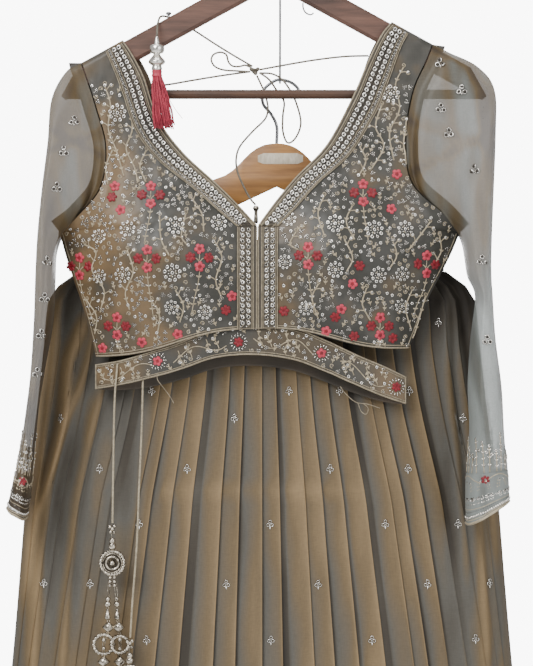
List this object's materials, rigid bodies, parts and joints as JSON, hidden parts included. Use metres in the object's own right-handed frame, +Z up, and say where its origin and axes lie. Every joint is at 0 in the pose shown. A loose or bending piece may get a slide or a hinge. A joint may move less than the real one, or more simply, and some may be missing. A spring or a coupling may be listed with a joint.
{
  "type": "lehenga set on wooden hangers",
  "caption": "Embroidered sheer-sleeved choli, loose waist belt and long pleated skirt, hung on a wooden hanger and a smaller one linked below it, with a tassel and metal drawstring pendants.",
  "frame": {"origin": "inside top of the upper hanger's hook, where a rail carries the set", "axes": "+Z up, front of the garment towards -Y, +X to the right as seen from the front"},
  "size_m": [0.6592, 0.248, 1.5635],
  "materials": {
    "choli_satin": "satin",
    "sheer_organza": "sheer",
    "skirt_chiffon": "shot",
    "trim": "beaded",
    "cord": "braided",
    "coral_thread": "silky",
    "red_wood": "satin",
    "gold_wood": "varnished",
    "hook_steel": "polished",
    "silver_beads": "antique"
  },
  "bodies": {
    "root": {"hanger_upper": "red_wood", "hanger_crossbar": "red_wood", "hanger_hook": "hook_steel", "hanger_link": "hook_steel", "hanger_peg": "hook_steel", "hanger_strap_hook": "hook_steel", "lower_hanger": "gold_wood", "lower_hanger_hook": "hook_steel", "choli_front_left": "choli_satin", "choli_front_right": "choli_satin", "choli_back_left": "choli_satin", "choli_back_right": "choli_satin", "neck_band_left": "trim", "neck_band_right": "trim", "placket_band_left": "trim", "placket_band_right": "trim", "sleeve_left": "sheer_organza", "sleeve_right": "sheer_organza", "cuff_left": "trim", "cuff_right": "trim", "belt_front": "choli_satin", "belt_back": "choli_satin", "skirt_waistband": "skirt_chiffon", "skirt_front": "skirt_chiffon", "skirt_back": "skirt_chiffon", "hanging_loop_left": "trim", "hanging_loop_right": "trim", "dori_knot": "cord", "dori_tie_left": "cord", "dori_tie_right": "cord", "dori_loop_left": "cord", "dori_loop_right": "cord", "dori_end_down": "cord", "dori_end_tassel": "cord", "dori_end_tube": "silver_beads", "tassel_beads": "silver_beads", "tassel_strands": "coral_thread", "drawstring_1": "cord", "drawstring_2": "cord", "latkan_1": "silver_beads", "latkan_2": "silver_beads"}
  },
  "joints": []
}
